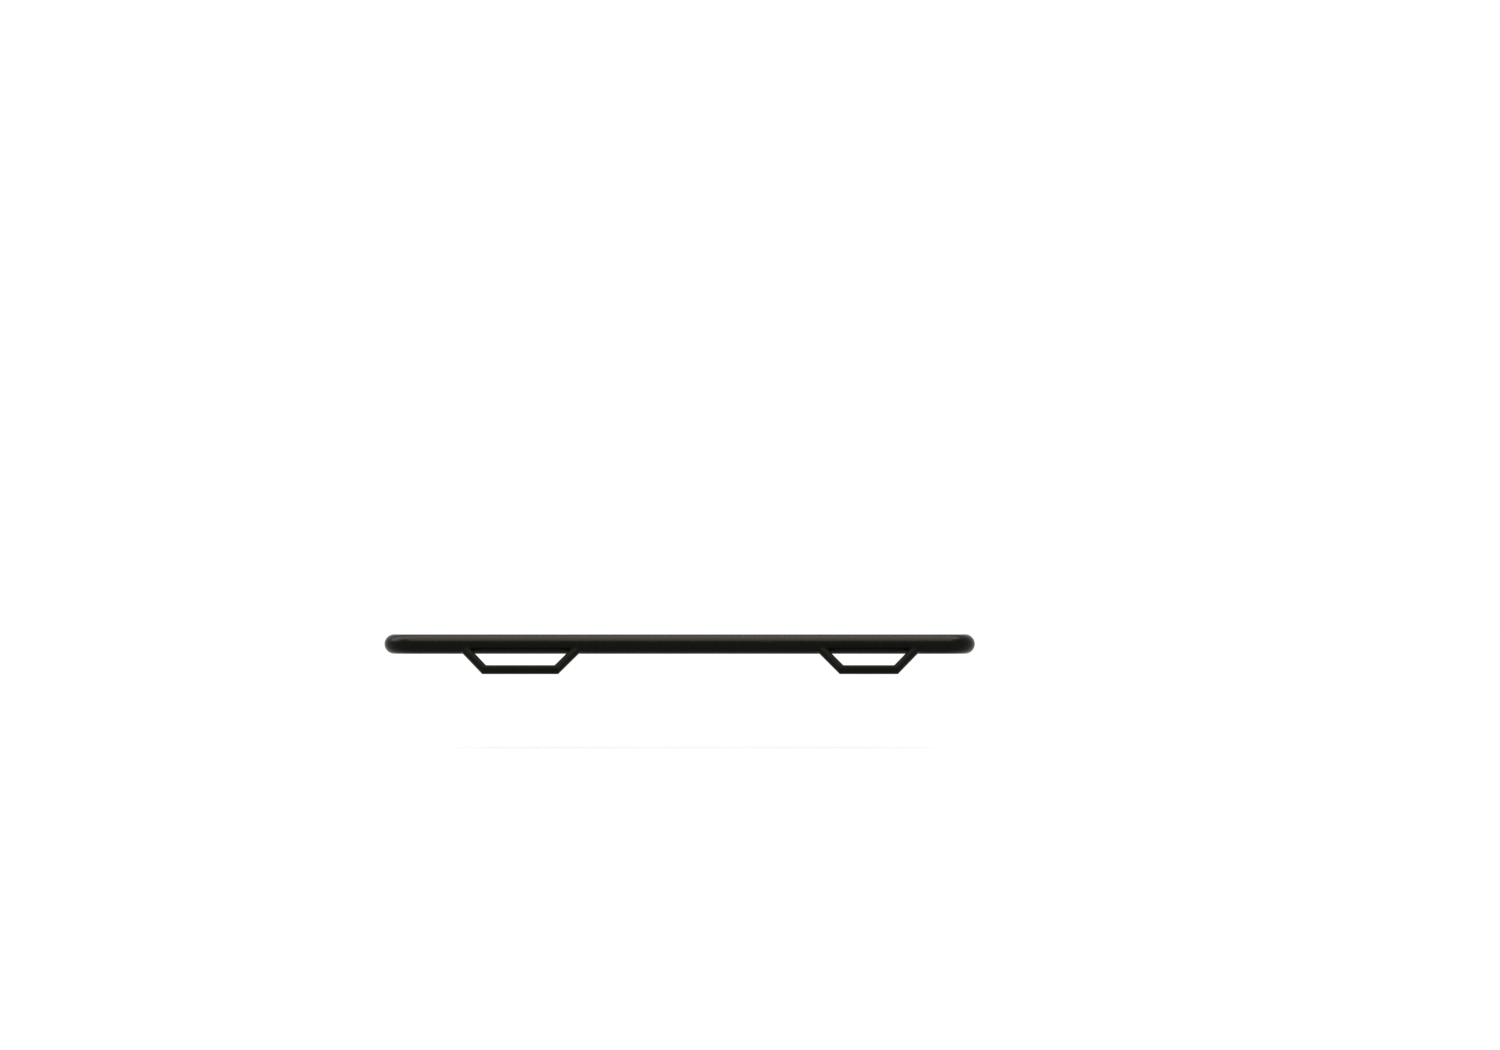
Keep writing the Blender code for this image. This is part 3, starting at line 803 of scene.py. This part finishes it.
def fit_fastener(node, shape, middle_turn):
    """Puts a detailed fastener, drawn along Z, where its CAD node is, and lets it stand for the node."""
    piece = new_piece(f"{node}_detail", shape, ZINC)
    low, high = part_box(node)
    shift = high.x - max(vertex.co.z for vertex in piece.data.vertices)
    axis_y, axis_z = (low.y + high.y) / 2, (low.z + high.z) / 2
    for vertex in piece.data.vertices:
        x, y, z = vertex.co
        turned_y = x * math.cos(middle_turn) - y * math.sin(middle_turn)
        turned_z = x * math.sin(middle_turn) + y * math.cos(middle_turn)
        vertex.co = (z + shift, axis_y + turned_y, axis_z + turned_z)
    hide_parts(node)


# Finishes

GLOSS_SPOTS = 0.015
GRIT_SHARE = 0.4
ZINC_BLUE = (0.56, 0.58, 0.61)
ZINC_STRAW = (0.64, 0.62, 0.56)
WARM = (1.0, 0.93, 0.82)
NEUTRAL = (1.0, 1.0, 1.0)
LATE_SUN = (1.0, 0.93, 0.87)


def nodes_of(material):
    """The material's nodes, links and shader."""
    material.use_nodes = True
    tree = material.node_tree
    return tree.nodes, tree.links, tree.nodes["Principled BSDF"]


def noise(nodes, links, source, scale, detail, roughness=0.5):
    """A noise texture in the object's own space."""
    made = nodes.new("ShaderNodeTexNoise")
    made.inputs["Scale"].default_value = scale
    made.inputs["Detail"].default_value = detail
    made.inputs["Roughness"].default_value = roughness
    links.new(source.outputs["Object"], made.inputs["Vector"])
    return made.outputs["Fac"]


def ranged(nodes, links, value, low, high, from_low=0.3, from_high=0.7):
    """A value mapped to another range."""
    made = nodes.new("ShaderNodeMapRange")
    made.inputs["From Min"].default_value = from_low
    made.inputs["From Max"].default_value = from_high
    made.inputs["To Min"].default_value = low
    made.inputs["To Max"].default_value = high
    links.new(value, made.inputs["Value"])
    return made.outputs["Result"]


def two_tone(nodes, links, pattern, first, second):
    """A colour that wanders between two."""
    made = nodes.new("ShaderNodeMix")
    made.data_type = "RGBA"
    made.inputs["A"].default_value = (*first, 1.0)
    made.inputs["B"].default_value = (*second, 1.0)
    links.new(ranged(nodes, links, pattern, 0.0, 1.0), made.inputs["Factor"])
    return made.outputs["Result"]


def summed(nodes, links, first, second, clamp=False):
    """Two values added."""
    made = nodes.new("ShaderNodeMath")
    made.operation = "ADD"
    made.use_clamp = clamp
    links.new(first, made.inputs[0])
    links.new(second, made.inputs[1])
    return made.outputs["Value"]


def bump(nodes, links, height, strength, distance, below=None):
    """A bump from a height, on top of another one where that is given."""
    made = nodes.new("ShaderNodeBump")
    made.inputs["Strength"].default_value = strength
    made.inputs["Distance"].default_value = distance
    links.new(height, made.inputs["Height"])
    if below is not None:
        links.new(below, made.inputs["Normal"])
    return made.outputs["Normal"]


def powder_coat(name, dark, light, rough_low, rough_high, specular, tint, peel):
    """Black powder coat: orange peel, a little unevenness in its gloss, and fine dust in its colour."""
    material = bpy.data.materials.new(name)
    nodes, links, shader = nodes_of(material)
    place = nodes.new("ShaderNodeTexCoord")
    broad = noise(nodes, links, place, scale=7.0, detail=3.0)
    mottle = noise(nodes, links, place, scale=60.0, detail=4.0)
    skin = noise(nodes, links, place, scale=330.0, detail=2.0, roughness=0.45)
    fine = noise(nodes, links, place, scale=900.0, detail=2.0, roughness=0.6)
    links.new(two_tone(nodes, links, mottle, dark, light), shader.inputs["Base Color"])
    gloss = ranged(nodes, links, broad, rough_low, rough_high)
    spots = ranged(nodes, links, mottle, -GLOSS_SPOTS, GLOSS_SPOTS)
    links.new(summed(nodes, links, gloss, spots), shader.inputs["Roughness"])
    relief = bump(nodes, links, skin, strength=peel, distance=0.0004)
    grit = bump(nodes, links, fine, strength=peel * GRIT_SHARE, distance=0.0001, below=relief)
    links.new(grit, shader.inputs["Normal"])
    shader.inputs["Specular IOR Level"].default_value = specular
    shader.inputs["Specular Tint"].default_value = (*tint, 1.0)
    return material


def zinc_plate(name):
    """Bright zinc on steel: a faint blue and straw tint, dull patches and fine drawing marks."""
    material = bpy.data.materials.new(name)
    nodes, links, shader = nodes_of(material)
    place = nodes.new("ShaderNodeTexCoord")
    patches = noise(nodes, links, place, scale=140.0, detail=3.0)
    spots = noise(nodes, links, place, scale=420.0, detail=4.0)
    links.new(two_tone(nodes, links, patches, ZINC_BLUE, ZINC_STRAW), shader.inputs["Base Color"])
    links.new(ranged(nodes, links, spots, 0.26, 0.44), shader.inputs["Roughness"])
    links.new(bump(nodes, links, spots, strength=0.25, distance=0.00006), shader.inputs["Normal"])
    shader.inputs["Metallic"].default_value = 1.0
    return material


TUBE_BLACK = powder_coat(
    "tube_gloss_black", dark=(0.0026, 0.0029, 0.0020), light=(0.0040, 0.0043, 0.0030),
    rough_low=0.25, rough_high=0.31, specular=0.06, tint=WARM, peel=0.10,
)
STEP_BLACK = powder_coat(
    "step_gloss_black", dark=(0.0028, 0.0031, 0.0022), light=(0.0042, 0.0045, 0.0033),
    rough_low=0.30, rough_high=0.36, specular=0.06, tint=WARM, peel=0.10,
)
PLATE_BLACK = powder_coat(
    "plate_satin_black", dark=(0.0080, 0.0078, 0.0070), light=(0.0115, 0.0112, 0.0102),
    rough_low=0.40, rough_high=0.50, specular=0.20, tint=NEUTRAL, peel=0.22,
)
ZINC = zinc_plate("zinc_plated_steel")


# Pieces

main_tube()
for end in END_X:
    end_cap(end)
    bead(
        f"{end}_cap_weld", cap_stations(end, size=0.0018),
        crown=0.0003, relief=0.00022, material=TUBE_BLACK,
    )

for prefix in STEPS:
    step_tread(prefix)
    for label, side in (("front", -1), ("rear", 1)):
        step_leg(prefix, label, side)
        stem = f"{prefix}_{label}"
        bead(
            f"{stem}_cope_weld", cope_stations(prefix, side, size=0.0040),
            crown=0.0006, relief=0.00030, material=STEP_BLACK,
        )
        bead(
            f"{stem}_mitre_weld", mitre_stations(prefix, side, size=0.0022),
            crown=0.00016, relief=0.00015, material=STEP_BLACK,
        )

for station in STATIONS:
    weld_tab(station)
    frame_bracket(station)
    bead(
        f"{station}_tab_weld", tab_stations(station, size=0.0032),
        crown=0.0004, relief=0.00026, material=TUBE_BLACK,
    )

for number, station in enumerate(STATIONS):
    for place, bolt in enumerate(BOLTS):
        stem = f"{station}_{bolt}"
        turn = FIRST_TURN + TURN_BY_STATION * number + TURN_BY_BOLT * place
        low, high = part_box(f"{stem}_bolt")
        fit_fastener(f"{stem}_bolt", bolt_shape(high.x - low.x - HEAD_HEIGHT), turn)
        low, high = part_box(f"{stem}_nut")
        fit_fastener(f"{stem}_nut", nut_shape(high.x - low.x), turn * NUT_TURN)
        for washer in ("head_washer", "nut_washer"):
            fit_fastener(f"{stem}_{washer}", washer_shape(), turn)
        fit_fastener(f"{stem}_spring_washer", spring_washer_shape(), turn * SPRING_WASHER_TURN)


# Stage

FLOOR_CENTRE = Vector((BAR_MIDDLE_X, 0.0, -0.404))
FLOOR_SIDES = 64
FLOOR_HUB = 3.0
FLOOR_RIM = 90.0
FLOOR_WHITE = (0.9, 0.9, 0.9, 1.0)
WORLD_WHITE = (1.0, 1.0, 1.0, 1.0)
FILL_LEVEL = 0.8

# The floor's own light grows from near the bar outwards: its strengths, and the distances they hold at
LIFT_NEAR, LIFT_FAR = 0.13, 0.34
NEAR, FAR = 0.5, 3.0


def light_path_sum(nodes, links):
    """One for rays from the camera and for reflected and refracted rays, otherwise zero."""
    path = nodes.new("ShaderNodeLightPath").outputs
    seen = summed(nodes, links, path["Is Camera Ray"], path["Is Glossy Ray"])
    return summed(nodes, links, seen, path["Is Transmission Ray"], clamp=True)


def make_floor():
    """A wide white floor, lit near the bar and plain white further out."""
    shape = bmesh.new()
    hub, rim = (circle(shape, FLOOR_CENTRE, X_AXIS, Y_AXIS, radius, FLOOR_SIDES) for radius in (FLOOR_HUB, FLOOR_RIM))
    shape.faces.new(hub)
    strip_of(shape, [hub, rim])
    mesh = bpy.data.meshes.new("floor")
    shape.to_mesh(mesh)
    shape.free()
    floor = linked("floor", mesh)
    material = bpy.data.materials.new("floor_white")
    material.use_nodes = True
    nodes, links = material.node_tree.nodes, material.node_tree.links
    nodes.clear()
    place = nodes.new("ShaderNodeNewGeometry")
    gap = nodes.new("ShaderNodeVectorMath")
    gap.operation = "DISTANCE"
    links.new(place.outputs["Position"], gap.inputs[0])
    gap.inputs[1].default_value = FLOOR_CENTRE
    share = nodes.new("ShaderNodeMath")
    share.operation = "MULTIPLY"
    links.new(ranged(nodes, links, gap.outputs["Value"], LIFT_NEAR, LIFT_FAR, NEAR, FAR), share.inputs[0])
    links.new(light_path_sum(nodes, links), share.inputs[1])
    diffuse = nodes.new("ShaderNodeBsdfDiffuse")
    diffuse.inputs["Color"].default_value = FLOOR_WHITE
    white = nodes.new("ShaderNodeEmission")
    links.new(share.outputs["Value"], white.inputs["Strength"])
    both = nodes.new("ShaderNodeAddShader")
    links.new(diffuse.outputs["BSDF"], both.inputs[0])
    links.new(white.outputs["Emission"], both.inputs[1])
    output = nodes.new("ShaderNodeOutputMaterial")
    links.new(both.outputs["Shader"], output.inputs["Surface"])
    mesh.materials.append(material)


def make_world():
    """White for the camera and for reflections, and a soft fill for the rest."""
    world = bpy.data.worlds.new("studio")
    world.use_nodes = True
    nodes, links = world.node_tree.nodes, world.node_tree.links
    background = nodes["Background"]
    background.inputs["Color"].default_value = WORLD_WHITE
    strength = ranged(nodes, links, light_path_sum(nodes, links), FILL_LEVEL, 1.0, 0.0, 1.0)
    links.new(strength, background.inputs["Strength"])
    bpy.context.scene.world = world


def softbox(name, location, aim, size_x, size_y, radiance, colour=NEUTRAL, diffuse=True):
    """A rectangular lamp. Its radiance is one where a white surface that it fills the view of looks white."""
    lamp = bpy.data.lights.new(name, "AREA")
    lamp.shape = "RECTANGLE"
    lamp.size = size_x
    lamp.size_y = size_y
    lamp.energy = radiance * math.pi * size_x * size_y
    lamp.color = colour
    made = linked(name, lamp)
    made.location = location
    made.rotation_euler = (Vector(aim) - Vector(location)).to_track_quat("-Z", "Y").to_euler()
    made.visible_camera = False
    made.visible_diffuse = diffuse
    return made


def sheen(name, box, radiance, materials):
    """A lamp that shows in reflections only, and only on the pieces of these materials."""
    lamp = softbox(name, **box, radiance=radiance, colour=LATE_SUN, diffuse=False)
    names = [material.name for material in materials]
    lit = bpy.data.collections.new(f"{name}_lights")
    for piece in bpy.context.scene.objects:
        if piece.type == "MESH" and any(found in piece.data.materials for found in names):
            lit.objects.link(piece)
    lamp.light_linking.receiver_collection = lit


make_floor()
make_world()
softbox("overhead", location=(0.55, -0.35, 1.70), aim=(0.55, -0.35, 0.0), size_x=5.0, size_y=3.0, radiance=0.5)

# The steps get a fainter sheen, as the vehicle's body shades them. The zinc gets none, as it would burn out.
OVERHEAD = {"location": (1.05, -0.86, 1.75), "aim": (1.05, -0.86, 0.0), "size_x": 4.6, "size_y": 2.6}
FRONT_END = {"location": (-1.9, 0.20, 1.6), "aim": (0.0, -0.15, 0.0), "size_x": 1.5, "size_y": 1.5}
sheen("overhead_sheen", OVERHEAD, radiance=8.8, materials=(TUBE_BLACK, PLATE_BLACK))
sheen("front_end_sheen", FRONT_END, radiance=7.5, materials=(TUBE_BLACK, PLATE_BLACK))
sheen("step_sheen", OVERHEAD, radiance=0.8, materials=(STEP_BLACK,))


# Camera, far off as the picture shows no perspective in the bar

METRES_PER_PIXEL = 0.0039
PHOTO_WIDTH = 1500
PHOTO_HEIGHT = 1050
BAR_PIXEL = (679.45, 644.15)
HORIZON_PIXEL = 588.5
CAMERA_DISTANCE = 30.0

camera_data = bpy.data.cameras.new("camera")
camera = linked("camera", camera_data)
camera_data.sensor_width = 36.0
camera_data.lens = camera_data.sensor_width * CAMERA_DISTANCE / (PHOTO_WIDTH * METRES_PER_PIXEL)
camera_x = BAR_MIDDLE_X + (PHOTO_WIDTH / 2 - BAR_PIXEL[0]) * METRES_PER_PIXEL
camera_z = (BAR_PIXEL[1] - HORIZON_PIXEL) * METRES_PER_PIXEL
camera.location = (camera_x, TUBE_Y - CAMERA_DISTANCE, camera_z)
camera.rotation_euler = (QUARTER, 0.0, 0.0)
camera_data.shift_y = (HORIZON_PIXEL - PHOTO_HEIGHT / 2) / PHOTO_WIDTH
camera_data.clip_start = 0.5
camera_data.clip_end = 250.0
bpy.context.scene.camera = camera
bpy.context.scene.view_settings.view_transform = "Standard"
